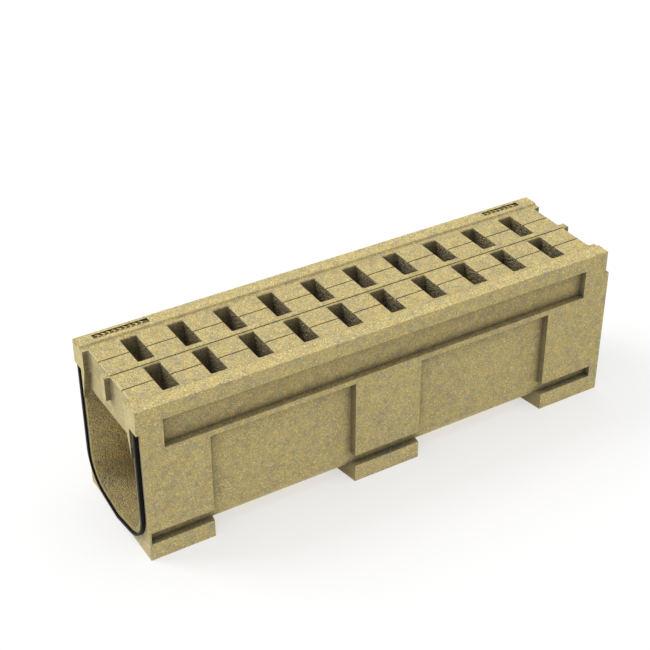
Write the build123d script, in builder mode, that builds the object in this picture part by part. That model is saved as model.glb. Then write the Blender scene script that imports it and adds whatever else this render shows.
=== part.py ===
from build123d import *
import os

# Channel drain with a slotted deck, cast in one piece, with a rubber seal round its spigot.
# X runs along the channel, with the spigot at the -X end and the socket at the +X end.
# The origin is at the middle of the underside, halfway along the whole casting.

# Laying sizes
length = 1000.0             # from one channel to the next
width = 256.0
height = 325.0
joint = 8.0                 # how far the trough stands out past the deck at the socket

# Deck
deck_underside = 277.5      # where the deck overhangs the spigot
soffit = 235.0              # top of the waterway, under the slots
rail_width = 30.0
rail_height = 3.7           # rails above the slotted field
rail_slope = 2.6            # run of each rail's sloping inner side
slot_count = 10
slot_pitch = 91.6
slot_width = 31.4
slot_length = 77.0
slot_row_offset = 48.3      # middle of each row from the centre line
slot_corner = 2.5
slot_bevel = 1.7
groove_width = 2.0
groove_depth = 2.5
groove_shift = -4.5         # the field's three fine grooves lie this far to the front

# Half slots at both ends, either side of a key
end_slot_depth = 12.0
end_slot_outer = 85.6       # from the centre line to the side walls
key_width = 16.0
key_underside = 275.0
end_slot_fillet = 4.0

# Trough
fall = 0.16                 # slope of the vee floor on each side
bore_half_width = 100.0
bore_invert = 24.5
bore_radius = 55.0
haunch_height = 214.0       # the side walls lean inwards above this, to carry the deck
throat_half_width = 86.0    # at the underside of the key
hull_half_width = 114.0
hull_invert = 1.2
hull_radius = 38.0

# Frames with feet, which carry the trough
frame_reach = 135.0         # inner edge of an end frame from the deck's end
middle_frame = 142.0
frame_draft = 0.158         # widening towards the middle for each mm of depth
foot_height = 36.0
foot_groove_height = 24.5
foot_groove_end_spigot = 4.0
foot_groove_end_socket = 21.5

# Side recesses
recess_depth = 13.0
recess_end = 50.0           # from the deck's end
recess_bottom = 236.0
recess_top = 295.0
panel_top = 225.0

# Spigot, seal and socket
spigot_reach = 4.0          # the seal and the deck stand out further, by the whole joint
spigot_half_width = 111.0
spigot_invert = 14.0
spigot_radius = 62.0
seal_half_width = 118.5
seal_invert = 7.5
seal_radius = 76.0
seal_round = 1.2
seal_top_gap = 0.4
socket_clearance = 1.0
socket_lip_round = 2.5

# Marking pockets in the back rail
long_pocket_length = 108.0  # at the spigot end
short_pocket_length = 86.0  # at the socket end
pocket_width = 13.4
pocket_depth = 3.2
pocket_from_end = 33.0
pocket_from_edge = 6.5

# Places along the channel
deck_start = -(length + joint) / 2
deck_end = deck_start + length
deck_middle = (deck_start + deck_end) / 2
trough_start = deck_start + joint
trough_end = deck_end + joint
field_level = height - rail_height


def trough_section(half_width, invert, radius, top):
    """A U with a vee floor, closed across the top, with Y to its right and Z up."""
    corner = invert + fall * half_width
    with BuildSketch() as section:
        with BuildLine():
            Polyline(
                (-half_width, top), (-half_width, corner), (0, invert),
                (half_width, corner), (half_width, top), close=True,
            )
        make_face()
        fillet(section.vertices().group_by(Axis.Y)[1], radius)
    return section.sketch


def flare_section(low, high):
    """The waterway between its leaning side walls, from one height to another."""
    lean = (bore_half_width - throat_half_width) / (key_underside - haunch_height)
    low_half_width = bore_half_width - lean * (low - haunch_height)
    high_half_width = bore_half_width - lean * (high - haunch_height)
    with BuildSketch() as section:
        with BuildLine():
            Polyline(
                (-low_half_width, low), (low_half_width, low),
                (high_half_width, high), (-high_half_width, high), close=True,
            )
        make_face()
    return section.sketch


def across(x):
    """The plane square to the channel at x, with Y to its right and Z up."""
    return Plane(origin=(x, 0, 0), x_dir=(0, 1, 0), z_dir=(1, 0, 0))


with BuildPart() as channel_body:
    # The hull of the trough and the deck on it
    with BuildSketch(across(trough_start)):
        add(trough_section(hull_half_width, hull_invert, hull_radius, deck_underside))
    extrude(amount=length)
    with BuildSketch(Plane.XY.offset(deck_underside)):
        with Locations((deck_middle, 0)):
            Rectangle(length, width)
    extrude(amount=height - deck_underside)
    with BuildSketch(Plane.XY.offset(panel_top)):
        with Locations((deck_middle + joint, 0)):
            Rectangle(length, width)
    extrude(amount=deck_underside - panel_top)

    # Frames, wider towards the middle because the mould halves draw to both sides
    spread = frame_draft * width / 2
    with BuildSketch(Plane.XY):
        with BuildLine():
            edge = deck_start + frame_reach
            Polyline(
                (trough_start, -width / 2), (edge, -width / 2), (edge + spread, 0),
                (edge, width / 2), (trough_start, width / 2), close=True,
            )
        make_face()
        with BuildLine():
            edge = deck_end - frame_reach
            Polyline(
                (trough_end, -width / 2), (edge, -width / 2), (edge - spread, 0),
                (edge, width / 2), (trough_end, width / 2), close=True,
            )
        make_face()
        with BuildLine():
            low = deck_middle - middle_frame / 2
            high = deck_middle + middle_frame / 2
            Polyline(
                (low, -width / 2), (high, -width / 2), (high + spread, 0),
                (high, width / 2), (low, width / 2), (low - spread, 0), close=True,
            )
        make_face()
    extrude(amount=panel_top)

    # The spigot, and the haunches that reach out over it with the deck
    with BuildSketch(across(trough_start)):
        add(trough_section(spigot_half_width, spigot_invert, spigot_radius, deck_underside))
    extrude(amount=-spigot_reach)
    with BuildSketch(across(deck_start)):
        with Locations((0, (haunch_height + deck_underside) / 2)):
            Rectangle(2 * bore_half_width, deck_underside - haunch_height)
    extrude(amount=joint)

    # The slotted field, lower than the rails
    with BuildSketch(across(deck_start)):
        with BuildLine():
            field_edge = width / 2 - rail_width - rail_slope / 2
            Polyline(
                (-field_edge - rail_slope, height), (-field_edge, field_level),
                (field_edge, field_level), (field_edge + rail_slope, height), close=True,
            )
        make_face()
    extrude(amount=length, mode=Mode.SUBTRACT)

    # The waterway
    with BuildSketch(across(deck_start)):
        add(trough_section(bore_half_width, bore_invert, bore_radius, haunch_height))
        add(flare_section(haunch_height, soffit))
    extrude(amount=length + joint, mode=Mode.SUBTRACT)

    # The socket that takes the next channel's spigot and seal
    with BuildSketch(across(deck_end)):
        add(trough_section(
            seal_half_width + socket_clearance, seal_invert - socket_clearance,
            seal_radius + socket_clearance, deck_underside,
        ))
    extrude(amount=joint, mode=Mode.SUBTRACT)

    # The mouth of the waterway at both ends, from its roof up to the key
    with BuildSketch(across(deck_start)):
        add(flare_section(soffit, key_underside))
    extrude(amount=end_slot_depth, mode=Mode.SUBTRACT)
    with BuildSketch(across(deck_end - end_slot_depth)):
        add(flare_section(soffit, key_underside))
    extrude(amount=end_slot_depth + joint, mode=Mode.SUBTRACT)

    # Half slots beside the key at both ends
    half_slot_width = end_slot_outer - key_width / 2
    half_slot_middle = (end_slot_outer + key_width / 2) / 2
    for end, inward in ((deck_start, 1), (deck_end, -1)):
        with BuildSketch(Plane.XY.offset(field_level)) as half_slots:
            for side in (-1, 1):
                with Locations((end, side * half_slot_middle)):
                    Rectangle(2 * end_slot_depth, half_slot_width)
            inner = [v for v in half_slots.vertices() if (v.X - end) * inward > 0]
            fillet(inner, end_slot_fillet)
        extrude(amount=-(field_level - key_underside), mode=Mode.SUBTRACT)
        with BuildSketch(Plane.XY.offset(field_level)) as bevels:
            for side in (-1, 1):
                with Locations((end, side * half_slot_middle)):
                    Rectangle(2 * (end_slot_depth + slot_bevel), half_slot_width)
            inner = [v for v in bevels.vertices() if (v.X - end) * inward > 0]
            fillet(inner, end_slot_fillet)
        extrude(amount=-slot_bevel, taper=45, mode=Mode.SUBTRACT)

    # Slots through the deck, with bevelled mouths
    with BuildSketch(Plane.XY.offset(field_level)):
        with Locations((deck_middle, 0)):
            with GridLocations(slot_pitch, 2 * slot_row_offset, slot_count, 2):
                RectangleRounded(slot_width, slot_length, slot_corner)
    extrude(amount=-(field_level - soffit), mode=Mode.SUBTRACT)
    with BuildSketch(Plane.XY.offset(field_level)):
        with Locations((deck_middle, 0)):
            with GridLocations(slot_pitch, 2 * slot_row_offset, slot_count, 2):
                RectangleRounded(
                    slot_width + 2 * slot_bevel, slot_length + 2 * slot_bevel,
                    slot_corner + slot_bevel,
                )
    extrude(amount=-slot_bevel, taper=45, mode=Mode.SUBTRACT)

    # Fine grooves along the field
    with BuildSketch(Plane.XY.offset(field_level)):
        with Locations((deck_middle, groove_shift)):
            with GridLocations(0, slot_row_offset, 1, 3):
                Rectangle(length - 2 * end_slot_depth, groove_width)
    extrude(amount=-groove_depth, mode=Mode.SUBTRACT)

    # Long recesses under the rails, and grooves over the feet, on both sides
    for side in (-1, 1):
        with BuildSketch(Plane.XZ.offset(-side * width / 2)):
            with Locations((deck_middle, (recess_bottom + recess_top) / 2)):
                Rectangle(length - 2 * recess_end, recess_top - recess_bottom)
        extrude(amount=side * recess_depth, mode=Mode.SUBTRACT)
    groove_low = trough_start + foot_groove_end_spigot
    groove_high = trough_end - foot_groove_end_socket
    hull_depth = width / 2 - hull_half_width
    with BuildSketch(Plane.XY.offset(foot_height)):
        for side in (-1, 1):
            with Locations(((groove_low + groove_high) / 2, side * (hull_half_width + hull_depth / 2))):
                Rectangle(groove_high - groove_low, hull_depth)
    extrude(amount=foot_groove_height, mode=Mode.SUBTRACT)

    # Marking pockets in the back rail
    with BuildSketch(Plane.XY.offset(height)):
        y = width / 2 - pocket_from_edge - pocket_width / 2
        with Locations((deck_start + pocket_from_end + long_pocket_length / 2, y)):
            Rectangle(long_pocket_length, pocket_width)
        with Locations((deck_end - pocket_from_end - short_pocket_length / 2, y)):
            Rectangle(short_pocket_length, pocket_width)
    extrude(amount=-pocket_depth, mode=Mode.SUBTRACT)

    # The socket's lips are rounded where the next deck comes down on them
    socket_face = channel_body.faces().sort_by(Axis.X)[-1]
    fillet(socket_face.edges().group_by(Axis.Z)[-1], socket_lip_round)

channel_body.part.label = "channel_body"


with BuildPart() as end_seal:
    # A band round the spigot, rounded where it meets the next channel
    seal_top = deck_underside - seal_top_gap
    with BuildSketch(across(trough_start)):
        add(trough_section(seal_half_width, seal_invert, seal_radius, seal_top))
        add(
            trough_section(spigot_half_width, spigot_invert, spigot_radius, seal_top),
            mode=Mode.SUBTRACT,
        )
    extrude(amount=-joint)
    front = end_seal.faces().sort_by(Axis.X)[0]
    fillet(front.outer_wire().edges().filter_by(lambda e: e.center().Z < seal_top), seal_round)

end_seal.part.label = "end_seal"

os.makedirs("parts", exist_ok=True)
export_step(channel_body.part, "parts/channel_body.step")
export_step(end_seal.part, "parts/end_seal.step")
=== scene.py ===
import math

import bmesh
import bpy
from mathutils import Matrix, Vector


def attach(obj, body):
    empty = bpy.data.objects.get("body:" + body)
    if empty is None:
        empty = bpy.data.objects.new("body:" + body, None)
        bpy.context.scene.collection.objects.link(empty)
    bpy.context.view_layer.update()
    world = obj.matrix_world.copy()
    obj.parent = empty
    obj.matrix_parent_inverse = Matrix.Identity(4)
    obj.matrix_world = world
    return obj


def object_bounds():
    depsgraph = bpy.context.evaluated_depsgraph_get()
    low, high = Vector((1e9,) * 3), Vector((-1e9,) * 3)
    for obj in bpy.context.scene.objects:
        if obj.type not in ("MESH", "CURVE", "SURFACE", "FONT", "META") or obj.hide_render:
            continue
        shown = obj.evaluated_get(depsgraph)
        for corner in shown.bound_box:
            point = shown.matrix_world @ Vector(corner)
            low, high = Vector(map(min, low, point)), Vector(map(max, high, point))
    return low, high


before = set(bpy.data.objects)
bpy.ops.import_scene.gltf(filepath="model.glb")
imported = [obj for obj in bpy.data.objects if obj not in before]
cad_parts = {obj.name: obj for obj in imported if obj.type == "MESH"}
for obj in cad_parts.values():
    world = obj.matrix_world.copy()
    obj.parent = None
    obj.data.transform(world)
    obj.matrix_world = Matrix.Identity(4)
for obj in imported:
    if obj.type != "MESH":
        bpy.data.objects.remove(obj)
cad_low, cad_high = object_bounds()

# Sizes are in metres. X runs along the channel, -Y is the side that the camera sees, and Z is up.

# Camera, at the photograph's viewing angle
CAMERA_PLACE = (-1.2178, -1.9195, 1.7610)
CAMERA_TURN = (56.445, 0.092, -31.091)      # degrees about X, Y and Z
CAMERA_LENS = 80.9
SENSOR_WIDTH = 36.0

# Stage and light. A light's direction points from the part to the light.
FLOOR_REACH = 40.0
FLOOR_GREY = 0.40
FLOOR_ROUGHNESS = 0.9
FLOOR_SPECULAR = 0.1
FLOOR_GLOW = 0.59                           # keeps the floor white, with a soft shadow
SKY_STRENGTH = 0.461
LIGHTS = {
    # name: direction, strength, spread in degrees
    "key": ((-2.6, 2.2, 3.4), 1.15, 28.0),
    "overhead": ((0.0, 0.0, 1.0), 1.10, 60.0),
}

# Places on the casting. Those from the middle lie both ways along X, and those from the centre both
# ways across it.
DECK_MIDDLE = -0.004
SLOTS_TO = (0.440, 0.090)                   # from the middle and from the centre
SLOT_TOP = 0.3195                           # where the bevels start
SLOTS_COARSEN = (-0.390, -0.170)            # the slots grow coarser from one X to the other
HALF_SLOT_BACK = (0.4870, 0.4885)           # from the middle
MOUTH_HEIGHTS = (0.2140, 0.3213)            # from the haunches to the field
FIELD_TO = 0.0968                           # from the centre
RAIL_SLOPE = (0.0966, 0.0996)               # from the centre
SLOPE_FACING = (0.3, 0.9)                   # how far a sloping face looks up
GROOVE_PITCH = 0.0483
GROOVE_SHIFT = -0.0045
GROOVE_HALF_WIDTH = 0.00115
GROOVE_HEIGHTS = (0.3184, 0.3211)
# Widths of the painted shade beside the grooves
GROOVE_PAINTED_SHADE_HALF_WIDTH = 0.0021
MIDDLE_GROOVE_PAINTED_SHADE_HALF_WIDTH = 0.0031
GROOVES_TO = 0.0700                         # from the centre
WATERWAY_TO = 0.1006                        # from the centre
WATERWAY_FLOOR = 0.0230
WATERWAY_ROOF = 0.2352
WATERWAY_SHADE_FROM = 0.1400                # it grows darker from here up
SPIGOT_FACE = (0.4950, 0.4980)              # from the middle
SPIGOT_TO = 0.1115                          # from the centre
FRAME_SIDES_TO = 0.4500                     # from the middle
LEDGES_FROM = 0.1050                        # from the centre
RECESS_DEPTHS = (0.1140, 0.1275)            # from the centre
RECESS_HEIGHTS = (0.2350, 0.2952)
POCKET_ROW = (0.1080, 0.1216)               # across the channel, in the back rail
POCKET_HEIGHTS = (0.3205, 0.3236)
FOOT_TOP = 0.0365
HALF_FACING = 0.5                           # a face that looks this much along an axis counts
END_FACING = 0.7                            # and for the end faces this much

# Factors on the stone's colour in each place, most of them painted shade and painted light
TONES = {
    # Painted light: paler and bluer in the slots, easing the painted shade there
    "slots": (1.26, 1.26, 1.36),
    # Painted shade on the sides and backs of the half slots
    "half_slot_sides": (0.73, 0.73, 0.77),
    "half_slot_backs": (0.84, 0.84, 0.84),
    # Darker on the spigot's end face
    "spigot_face": (0.83, 0.83, 0.84),
    # Painted light: paler through the waterway; painted shade: darker on its floor
    "waterway": (1.15, 1.13, 1.15),
    "waterway_floor": (0.545, 0.56, 0.54),
    # Painted shade in the grooves and beside them
    "grooves": (0.61, 0.59, 0.55),
    "by_grooves": (0.90, 0.89, 0.87),
    "by_middle_groove": (0.90, 0.89, 0.87),
    # Painted shade on the frame sides and in the recesses
    "frame_sides": (0.60, 0.58, 0.55),
    "recesses": (0.92, 0.91, 0.88),
    # Darker and bluer on the end faces below the waterway's roof, near the ends
    "low_ends": (0.86, 0.87, 0.93),
    # Painted shade: darker towards the waterway's roof
    "waterway_top": (0.70, 0.70, 0.70),
    # Painted shade in the pockets
    "pockets": (0.42, 0.40, 0.36),
    # Painted light: paler on faces that look up
    "facing_up": (1.29, 1.29, 1.31),
    # Darker on the field between the rails
    "field": (0.93, 0.93, 0.94),
    # Painted light: paler on the rail slopes
    "rail_slopes": (1.22, 1.22, 1.22),
    # Paler and bluer on the feet
    "feet": (1.08, 1.08, 1.12),
    # Painted light: paler and bluer on the ledges below the deck, where they lie in shade
    "ledges": (1.16, 1.18, 1.24),
}

# Stone: sandy cast stone with coloured grains. A noise is given by its scale, detail and roughness.
SAND = (0.536, 0.433, 0.184)
SAND_GREY = (0.407, 0.357, 0.201)
SAND_END = (0.650, 0.560, 0.295)            # the smoother end faces, paler in part as painted light on them
END_COVER = 0.8                             # how far that colour covers the sand there
END_CALM = 0.36                             # how much weaker grains and bump are there
END_STRETCH = (1.0, 0.55, 1.0)              # the grain is drawn out across the end faces
CLOUDS = (50.0, 4.0, 0.62)
CLOUD_STOPS = ((0.44, 0.0), (0.70, 0.85))
MOTTLE = (70.0, 2.0, 0.5)
MOTTLE_STOPS = ((0.30, 0.92), (0.70, 1.08))
SAND_CELLS = 560.0                          # per metre
SAND_STOPS = ((0.0, 0.82), (1.0, 1.18))
END_SAND_STOPS = ((0.0, 0.92), (1.0, 1.08))
PIT_STOPS = ((0.0, 0.82), (1.0, 1.18))
CHIP_STOPS = (
    (0.0, (0.52, 0.52, 0.54)),
    (0.55, (0.80, 0.80, 0.83)),
    (1.0, (2.0, 2.0, 2.2)),
)
CLUSTERS = (24.0, 3.0, 0.6)
CLUSTER_STOPS = ((0.38, 0.0), (0.66, 1.0))
GRAIN_SHIFT = (0.37, 0.11, 0.23)            # keeps each kind of grain off the others
GRAIN_FADE = 0.28                           # width of a grain's soft rim, as a share of its cell
GRAINS = (
    # cells per metre, least and greatest share of them, reach in the cell, colour, strength
    (85.0, 0.16, 0.32, 0.88, (0.30, 0.26, 0.20), 0.29),     # slate, in soft patches
    (500.0, 0.14, 0.30, 0.64, (0.90, 0.70, 0.22), 0.58),    # fine yellow
    (310.0, 0.05, 0.13, 0.58, (0.92, 0.66, 0.16), 0.80),    # yellow
    (440.0, 0.06, 0.13, 0.62, (0.88, 0.80, 0.48), 0.66),    # cream
    (460.0, 0.06, 0.15, 0.62, (0.27, 0.22, 0.13), 0.50),    # brown
    (340.0, 0.02, 0.04, 0.56, (0.78, 0.36, 0.09), 0.72),    # orange
    (340.0, 0.01, 0.03, 0.56, (0.26, 0.28, 0.31), 0.62),    # blue grey
)
EDGE_RADIUS = 0.0007
EDGE_SAMPLES = 4
EDGE_STOPS = ((0.80, 1.0), (0.97, 0.0))     # by how well the rounded normal keeps to the face's own
WEAR = (180.0, 2.0, 0.6)
WEAR_STOPS = ((0.40, 0.0), (0.62, 0.5))
WORN = (0.66, 0.58, 0.34)
PAINTED_SHADE_SAMPLES = 8
PAINTED_SHADES = (
    # distance, and factors on the colour from closed in to open: painted shade in hollows and corners
    (0.040, (
        (0.15, (0.46, 0.47, 0.56)),
        (0.50, (0.60, 0.61, 0.67)),
        (0.72, (0.77, 0.77, 0.80)),
        (0.88, (0.91, 0.91, 0.92)),
        (0.97, (1.0, 1.0, 1.0)),
    )),
    (0.09, (
        (0.05, (0.44, 0.44, 0.47)),
        (0.40, (0.67, 0.67, 0.70)),
        (0.92, (1.0, 1.0, 1.0)),
    )),
)
GRIT = (520.0, 3.0, 0.65)
GRIT_RISE = 0.7
CELL_SMOOTHNESS = 0.4
FINE_CELLS = 400.0                          # per metre
FINE_RISE = 1.6
COARSE_CELLS = 270.0                        # per metre
COARSE_RISE = 1.3
SLOT_EXTRA_RISE = 0.9
BUMP_STRENGTH = 0.32
BUMP_EXTRA_FACING_UP = 0.58
BUMP_DISTANCE = 0.0016
STONE_ROUGHNESS = 0.66
STONE_ROUGHNESS_SPREAD = 0.25
STONE_SPECULAR = 0.2

# Rubber: black moulded rubber with a soft sheen
RUBBER = (0.004, 0.004, 0.004)
DUSTY_RUBBER = (0.014, 0.014, 0.013)
DUST = (35.0, 3.0, 0.6)
DUST_STOPS = ((0.45, 0.0), (0.80, 0.35))
SKIN = (900.0, 2.0, 0.5)
SKIN_STRENGTH = 0.25
SKIN_DISTANCE = 0.0003
RUBBER_ROUGHNESS = 0.36
RUBBER_ROUGHNESS_SPREAD = 0.2
RUBBER_SPECULAR = 0.09

# Marks: raised chevrons that fill the two pockets in the back rail, lower than its top
POCKETS = ((-0.471, -0.363), (0.377, 0.463))
POCKET_FLOOR = 0.3218
MARK_RISE = 0.0024
MARK_PITCH = 0.0105
MARK_HALF_WIDTH = 0.0050
MARK_STROKE = 0.0046
MARK_REACH = 0.0050
MARK_ROUND = 0.0005
MARK_ROUND_STEPS = 2


# Node helpers

def new_material(name):
    material = bpy.data.materials.new(name)
    material.use_nodes = True
    material.node_tree.nodes.clear()
    return material


def opaque(colour):
    return (*colour, 1.0)


class Nodes:
    """Short calls for building one node tree."""

    def __init__(self, tree):
        self.tree = tree

    def add(self, kind, values=None, **settings):
        node = self.tree.nodes.new(kind)
        for key, value in settings.items():
            setattr(node, key, value)
        for key, value in (values or {}).items():
            self.feed(value, node.inputs[key])
        return node

    def feed(self, value, socket):
        """Links an output to the socket, or sets its plain value."""
        if isinstance(value, bpy.types.NodeSocket):
            self.tree.links.new(value, socket)
        else:
            socket.default_value = value

    def math(self, operation, a, b=0.0):
        return self.add("ShaderNodeMath", {0: a, 1: b}, operation=operation).outputs[0]

    def vector_math(self, operation, a, b):
        return self.add("ShaderNodeVectorMath", {0: a, 1: b}, operation=operation).outputs

    def product(self, *factors):
        result = factors[0]
        for factor in factors[1:]:
            result = self.math("MULTIPLY", result, factor)
        return result

    def size(self, value):
        """The value without its sign."""
        return self.math("ABSOLUTE", value)

    def rest(self, share):
        """What a share leaves of 1."""
        return self.math("SUBTRACT", 1.0, share)

    def above(self, value, limit):
        """1 where the value is above the limit, otherwise 0."""
        return self.math("GREATER_THAN", value, limit)

    def below(self, value, limit):
        """1 where the value is below the limit, otherwise 0."""
        return self.math("LESS_THAN", value, limit)

    def between(self, value, low, high):
        """1 where the value lies from low to high, otherwise 0."""
        return self.product(self.above(value, low), self.below(value, high))

    def growth(self, value, low, high):
        """Grows evenly from 0 at the low value to 1 at the high one."""
        return self.add("ShaderNodeMapRange", {
            "Value": value, "From Min": low, "From Max": high,
        }).outputs[0]

    def xyz(self, vector):
        return self.add("ShaderNodeSeparateXYZ", {0: vector}).outputs

    def channels(self, colour):
        return self.add("ShaderNodeSeparateColor", {0: colour}).outputs

    def mix(self, factor, a, b, blend="MIX"):
        node = self.add("ShaderNodeMix", data_type="RGBA", blend_type=blend)
        self.feed(factor, node.inputs["Factor"])
        self.feed(a, node.inputs["A"])
        self.feed(b, node.inputs["B"])
        return next(s for s in node.outputs if s.type == "RGBA")

    def tint(self, factor, colour, by):
        """The colour times another one, as far as the factor says."""
        return self.mix(factor, colour, by, "MULTIPLY")

    def noise(self, where, scale, detail, roughness):
        return self.add("ShaderNodeTexNoise", {
            "Vector": where, "Scale": scale, "Detail": detail, "Roughness": roughness,
        }).outputs["Fac"]

    def cells(self, where, scale):
        return self.add("ShaderNodeTexVoronoi", {"Vector": where, "Scale": scale}, feature="F1").outputs

    def smooth_cells(self, where, scale):
        return self.add("ShaderNodeTexVoronoi", {
            "Vector": where, "Scale": scale, "Smoothness": CELL_SMOOTHNESS,
        }, feature="SMOOTH_F1").outputs["Distance"]

    def steps(self, factor, stops):
        """A colour ramp with (position, grey level or colour) stops."""
        node = self.add("ShaderNodeValToRGB", {"Fac": factor})
        elements = node.color_ramp.elements
        while len(elements) < len(stops):
            elements.new(0.5)
        for element, (position, colour) in zip(elements, stops):
            element.position = position
            element.color = opaque((colour,) * 3 if isinstance(colour, float) else colour)
        return node.outputs["Color"]


# Stone

def find_places(n, place, facing):
    """Masks by name, each up to 1 in one kind of place on the casting and 0 elsewhere."""
    x, y, z = n.xyz(place)
    faces_x, faces_y, faces_z = n.xyz(facing)
    from_middle = n.size(n.math("SUBTRACT", x, DECK_MIDDLE))
    from_centre = n.size(y)
    from_middle_groove = n.math("SUBTRACT", y, GROOVE_SHIFT)
    from_groove = n.math("PINGPONG", from_middle_groove, GROOVE_PITCH / 2)
    facing_up = n.math("MAXIMUM", faces_z, 0.0)
    ends = n.above(n.size(faces_x), END_FACING)
    below_roof = n.below(z, WATERWAY_ROOF)
    on_deck = n.above(z, GROOVE_HEIGHTS[0])
    beside_slots = n.below(from_centre, SLOTS_TO[1])
    in_waterway = n.below(from_centre, WATERWAY_TO)

    slots = n.product(n.below(from_middle, SLOTS_TO[0]), beside_slots,
                      n.between(z, WATERWAY_ROOF, SLOT_TOP))
    waterway = n.product(in_waterway, n.between(z, WATERWAY_FLOOR, WATERWAY_ROOF),
                         n.below(n.size(faces_x), HALF_FACING))
    spigot_face = n.product(n.between(from_middle, *SPIGOT_FACE), below_roof,
                            n.below(from_centre, SPIGOT_TO))
    long_walls = n.product(slots, ends)
    return {
        "facing_up": facing_up,
        "slots": slots,
        "long_walls": long_walls,
        "coarse_walls": n.product(long_walls, n.growth(x, *SLOTS_COARSEN)),
        "half_slot_sides": n.product(n.above(from_middle, HALF_SLOT_BACK[1]), in_waterway,
                                     n.between(z, *MOUTH_HEIGHTS),
                                     n.above(n.size(faces_y), HALF_FACING)),
        "half_slot_backs": n.product(n.between(from_middle, *HALF_SLOT_BACK), ends, beside_slots),
        "spigot_face": spigot_face,
        "waterway": waterway,
        "waterway_floor": n.product(waterway, facing_up),
        "waterway_top": n.product(waterway, n.growth(z, WATERWAY_SHADE_FROM, WATERWAY_ROOF)),
        "grooves": n.product(n.below(from_groove, GROOVE_HALF_WIDTH), n.between(z, *GROOVE_HEIGHTS)),
        "by_grooves": n.product(on_deck, n.below(from_groove, GROOVE_PAINTED_SHADE_HALF_WIDTH),
                                n.below(from_centre, GROOVES_TO)),
        "by_middle_groove": n.product(on_deck, n.below(n.size(from_middle_groove),
                                                       MIDDLE_GROOVE_PAINTED_SHADE_HALF_WIDTH)),
        "frame_sides": n.product(ends, below_roof, n.below(from_middle, FRAME_SIDES_TO)),
        "low_ends": n.product(ends, below_roof, n.above(from_middle, FRAME_SIDES_TO)),
        "recesses": n.product(n.between(from_centre, *RECESS_DEPTHS), n.between(z, *RECESS_HEIGHTS)),
        "pockets": n.product(n.between(y, *POCKET_ROW), n.between(z, *POCKET_HEIGHTS)),
        "field": n.product(n.below(from_centre, FIELD_TO), n.above(faces_z, HALF_FACING)),
        "rail_slopes": n.product(n.between(from_centre, *RAIL_SLOPE), n.between(faces_z, *SLOPE_FACING)),
        "feet": n.product(n.below(z, FOOT_TOP), n.rest(ends)),
        "ledges": n.product(facing_up, n.below(z, GROOVE_HEIGHTS[0]), n.above(from_centre, LEDGES_FROM)),
        "smooth_ends": n.product(ends, n.rest(slots), n.rest(spigot_face)),
    }


def sand_colour(n, where, places):
    """Soft clouds of two sands, and grit of mixed brightness, coarsest in the slots."""
    smooth = places["smooth_ends"]
    colour = n.mix(n.steps(n.noise(where, *CLOUDS), CLOUD_STOPS), opaque(SAND), opaque(SAND_GREY))
    # Painted light in part: the paler colour on the smooth end faces
    colour = n.mix(n.product(smooth, END_COVER), colour, opaque(SAND_END))
    colour = n.tint(1.0, colour, n.steps(n.noise(where, *MOTTLE), MOTTLE_STOPS))
    sand, pits, _ = n.channels(n.cells(where, SAND_CELLS)["Color"])
    contrast = n.mix(smooth, n.steps(sand, SAND_STOPS), n.steps(sand, END_SAND_STOPS))
    colour = n.tint(1.0, colour, contrast)
    colour = n.tint(places["facing_up"], colour, n.steps(pits, PIT_STOPS))
    return n.tint(places["coarse_walls"], colour, n.steps(pits, CHIP_STOPS))


def add_grains(n, colour, place, where, calm):
    """Coloured grains in loose clusters."""
    cluster = n.steps(n.noise(place, *CLUSTERS), CLUSTER_STOPS)
    for index, (scale, least, most, reach, grain, strength) in enumerate(GRAINS):
        shift = [step * index for step in GRAIN_SHIFT]
        cell = n.cells(n.vector_math("ADD", where, shift)[0], scale)
        share = n.math("ADD", n.product(cluster, most - least), least)
        chosen = n.below(n.channels(cell["Color"])[0], share)
        spot = n.steps(cell["Distance"], ((reach - GRAIN_FADE, 1.0), (reach, 0.0)))
        colour = n.mix(n.product(chosen, spot, calm, strength), colour, opaque(grain))
    return colour


def wear_edges(n, colour, place, normal, rounded):
    """Edges are a little paler in patches."""
    bend = n.vector_math("DOT_PRODUCT", rounded, normal)["Value"]
    worn = n.product(n.steps(bend, EDGE_STOPS), n.steps(n.noise(place, *WEAR), WEAR_STOPS))
    return n.mix(worn, colour, opaque(WORN))


def stone_bump(n, place, places, grit, calm, rounded):
    """Fine grit and grains, stronger where it faces up, and coarser in the waterway and the slots."""
    long_walls = places["long_walls"]
    rough = n.math("MAXIMUM", places["waterway"], long_walls)
    coarse_rise = n.math("ADD", n.product(long_walls, SLOT_EXTRA_RISE), COARSE_RISE)
    pebbles = n.add("ShaderNodeMix", {
        "Factor": rough,
        "A": n.product(n.smooth_cells(place, FINE_CELLS), FINE_RISE),
        "B": n.product(n.smooth_cells(place, COARSE_CELLS), coarse_rise),
    }, data_type="FLOAT").outputs[0]
    outside = n.math("ADD", n.product(places["facing_up"], BUMP_EXTRA_FACING_UP), BUMP_STRENGTH)
    return n.add("ShaderNodeBump", {
        "Height": n.math("SUBTRACT", n.product(grit, GRIT_RISE), pebbles),
        "Strength": n.product(n.math("MAXIMUM", outside, rough), calm),
        "Distance": BUMP_DISTANCE,
        "Normal": rounded,
    }).outputs[0]


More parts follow.
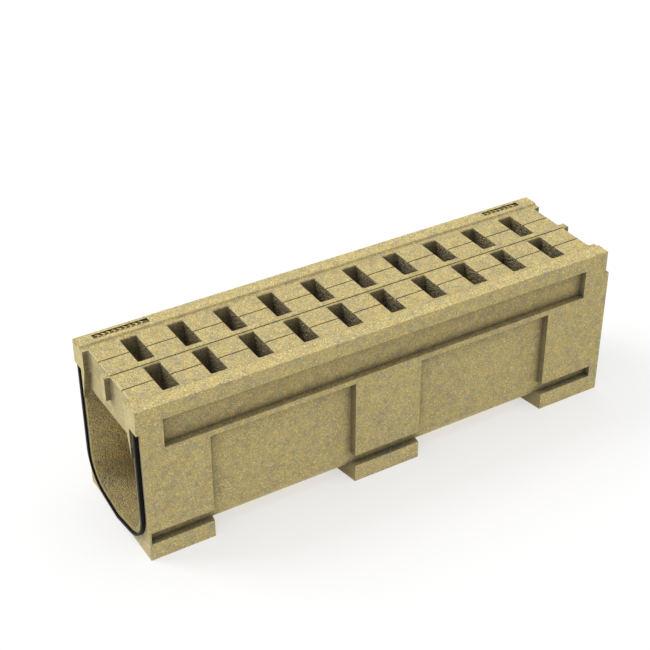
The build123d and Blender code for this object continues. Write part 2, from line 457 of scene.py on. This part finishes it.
def make_stone():
    material = new_material("cast_stone")
    n = Nodes(material.node_tree)
    place = n.add("ShaderNodeTexCoord").outputs["Object"]
    geometry = n.add("ShaderNodeNewGeometry")
    places = find_places(n, place, geometry.outputs["True Normal"])
    smooth = places["smooth_ends"]
    where = n.mix(smooth, place, n.vector_math("MULTIPLY", place, END_STRETCH)[0])
    calm = n.rest(n.product(smooth, END_CALM))
    rounded = n.add("ShaderNodeBevel", {"Radius": EDGE_RADIUS}, samples=EDGE_SAMPLES).outputs[0]
    grit = n.noise(place, *GRIT)

    colour = sand_colour(n, where, places)
    colour = add_grains(n, colour, place, where, calm)
    colour = wear_edges(n, colour, place, geometry.outputs["Normal"], rounded)
    # Factors by place from TONES, most of them painted shade and painted light
    for name, tone in TONES.items():
        colour = n.tint(places[name], colour, opaque(tone))
    # Painted shade in hollows and corners, from ambient occlusion
    for distance, stops in PAINTED_SHADES:
        shade = n.add("ShaderNodeAmbientOcclusion", {"Distance": distance},
                      samples=PAINTED_SHADE_SAMPLES, only_local=True)
        colour = n.tint(1.0, colour, n.steps(shade.outputs["AO"], stops))

    shader = n.add("ShaderNodeBsdfPrincipled", {
        "Base Color": colour,
        "Roughness": n.math("ADD", n.product(grit, STONE_ROUGHNESS_SPREAD), STONE_ROUGHNESS),
        "Specular IOR Level": STONE_SPECULAR,
        "Normal": stone_bump(n, place, places, grit, calm, rounded),
    })
    n.add("ShaderNodeOutputMaterial", {"Surface": shader.outputs[0]})
    return material


# Rubber

def make_rubber():
    material = new_material("seal_rubber")
    n = Nodes(material.node_tree)
    place = n.add("ShaderNodeTexCoord").outputs["Object"]
    dust = n.noise(place, *DUST)
    bump = n.add("ShaderNodeBump", {
        "Height": n.noise(place, *SKIN), "Strength": SKIN_STRENGTH, "Distance": SKIN_DISTANCE,
    })
    shader = n.add("ShaderNodeBsdfPrincipled", {
        "Base Color": n.mix(n.steps(dust, DUST_STOPS), opaque(RUBBER), opaque(DUSTY_RUBBER)),
        "Roughness": n.math("ADD", n.product(dust, RUBBER_ROUGHNESS_SPREAD), RUBBER_ROUGHNESS),
        "Specular IOR Level": RUBBER_SPECULAR,
        "Normal": bump.outputs[0],
    })
    n.add("ShaderNodeOutputMaterial", {"Surface": shader.outputs[0]})
    return material


stone = make_stone()
rubber = make_rubber()
for name, material in (("channel_body", stone), ("end_seal", rubber)):
    for material_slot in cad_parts[name].material_slots:
        material_slot.material = material


# Marks, stage, light and camera

def add_object(name, data):
    thing = bpy.data.objects.new(name, data)
    bpy.context.scene.collection.objects.link(thing)
    return thing


def add_chevron(shape, tail, middle):
    """One raised chevron whose two arms start at the tail, in X, and meet further on."""
    tip = tail + MARK_REACH
    outline = (
        (tip, 0.0), (tail, MARK_HALF_WIDTH), (tail - MARK_STROKE, MARK_HALF_WIDTH),
        (tip - MARK_STROKE, 0.0), (tail - MARK_STROKE, -MARK_HALF_WIDTH), (tail, -MARK_HALF_WIDTH),
    )
    base = shape.faces.new([shape.verts.new((x, middle + y, POCKET_FLOOR)) for x, y in outline])
    raised = bmesh.ops.extrude_face_region(shape, geom=[base])["geom"]
    top = [v for v in raised if isinstance(v, bmesh.types.BMVert)]
    bmesh.ops.translate(shape, vec=(0.0, 0.0, MARK_RISE), verts=top)
    rim = [e for e in raised if isinstance(e, bmesh.types.BMEdge)]
    bmesh.ops.bevel(shape, geom=rim, offset=MARK_ROUND, segments=MARK_ROUND_STEPS, affect="EDGES")


def sort_by_place(parts, place):
    """Gives points or faces an order of their own, because the operators' order varies between runs."""
    order = {part: index for index, part in enumerate(sorted(parts, key=place))}
    parts.sort(key=order.get)


def make_marks():
    mesh = bpy.data.meshes.new("pocket_marks")
    shape = bmesh.new()
    middle = sum(POCKET_ROW) / 2
    for low, high in POCKETS:
        count = int((high - low) / MARK_PITCH) - 1
        first = (low + high) / 2 - MARK_PITCH * (count - 1) / 2
        for index in range(count):
            add_chevron(shape, first + MARK_PITCH * index - MARK_REACH / 2, middle)
    bmesh.ops.recalc_face_normals(shape, faces=shape.faces)
    sort_by_place(shape.verts, lambda vert: vert.co[:])
    sort_by_place(shape.faces, lambda face: face.calc_center_median()[:])
    shape.to_mesh(mesh)
    shape.free()
    marks = add_object("pocket_marks", mesh)
    mesh.materials.append(stone)
    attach(marks, "root")


def make_floor():
    mesh = bpy.data.meshes.new("floor")
    shape = bmesh.new()
    bmesh.ops.create_grid(shape, x_segments=1, y_segments=1, size=FLOOR_REACH)
    shape.to_mesh(mesh)
    shape.free()
    floor = add_object("floor", mesh)
    material = new_material("floor_white")
    n = Nodes(material.node_tree)
    shader = n.add("ShaderNodeBsdfPrincipled", {
        "Base Color": opaque((FLOOR_GREY,) * 3),
        "Roughness": FLOOR_ROUGHNESS,
        "Specular IOR Level": FLOOR_SPECULAR,
        "Emission Color": (1.0, 1.0, 1.0, 1.0),
        "Emission Strength": FLOOR_GLOW,
    })
    n.add("ShaderNodeOutputMaterial", {"Surface": shader.outputs[0]})
    mesh.materials.append(material)
    floor.location.z = cad_low.z


def make_light(name, direction, strength, spread):
    """A distant soft light."""
    light = bpy.data.lights.new(name, "SUN")
    light.energy = strength
    light.angle = math.radians(spread)
    lamp = add_object(name, light)
    lamp.rotation_euler = Vector(direction).to_track_quat("Z", "Y").to_euler()


def make_sky():
    world = bpy.data.worlds.new("studio")
    world.use_nodes = True
    background = world.node_tree.nodes["Background"]
    background.inputs["Color"].default_value = (1.0, 1.0, 1.0, 1.0)
    background.inputs["Strength"].default_value = SKY_STRENGTH
    bpy.context.scene.world = world


make_marks()
make_floor()
for name, light in LIGHTS.items():
    make_light(name, *light)
make_sky()
bpy.context.scene.view_settings.view_transform = "Standard"

camera_data = bpy.data.cameras.new("camera")
camera_data.lens = CAMERA_LENS
camera_data.sensor_width = SENSOR_WIDTH
camera = add_object("camera", camera_data)
camera.location = CAMERA_PLACE
camera.rotation_euler = [math.radians(angle) for angle in CAMERA_TURN]
bpy.context.scene.camera = camera
